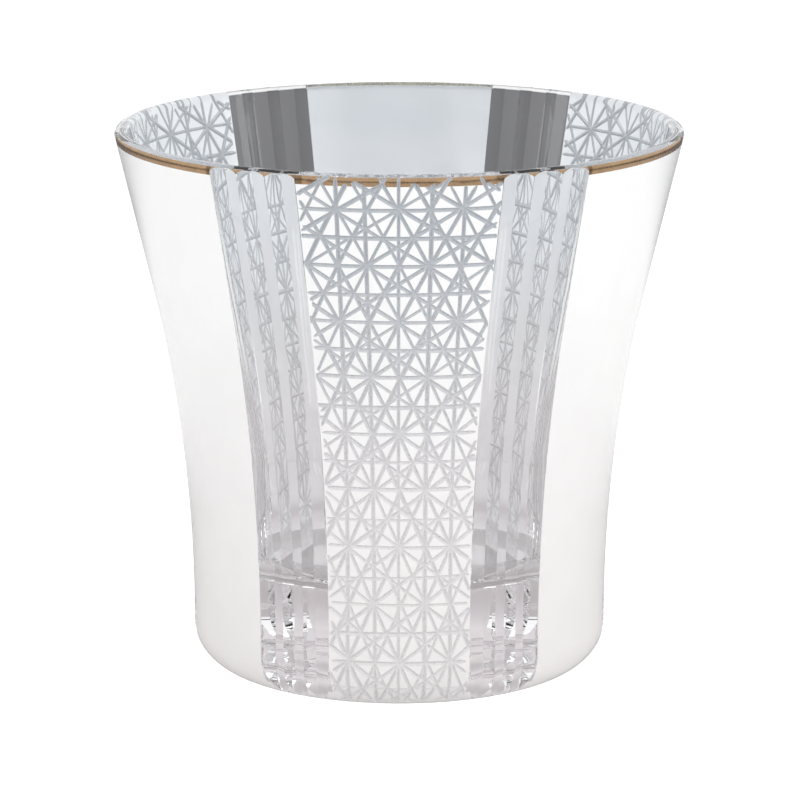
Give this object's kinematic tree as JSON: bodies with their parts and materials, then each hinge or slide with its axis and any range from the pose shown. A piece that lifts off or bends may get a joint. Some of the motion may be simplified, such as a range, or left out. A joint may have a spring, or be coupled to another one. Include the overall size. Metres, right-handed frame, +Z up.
{
  "type": "cut crystal mixing tumbler",
  "caption": "Flared cut-crystal tumbler for mixing drinks: thick clear base, white overlay panels with chrysanthemum-chain cutting, clear V-cut flutes and a gilt rim.",
  "frame": {"origin": "middle of the foot, on the plane the glass stands on", "axes": "+Z up along the glass's axis; the front carved panel faces -Y; +X is to the right of someone facing it"},
  "size_m": [0.0928, 0.093, 0.09],
  "materials": {
    "crystal": "polished",
    "white_overlay": "polished, opaque white",
    "gilding": "burnished gold"
  },
  "bodies": {
    "root": {"crystal_body": "crystal", "kiku_panel_front": "white_overlay", "plain_panel_right_front": "white_overlay", "kiku_panel_right_rear": "white_overlay", "plain_panel_rear": "white_overlay", "kiku_panel_left_rear": "white_overlay", "plain_panel_left_front": "white_overlay", "gilt_rim": "gilding"}
  },
  "joints": []
}
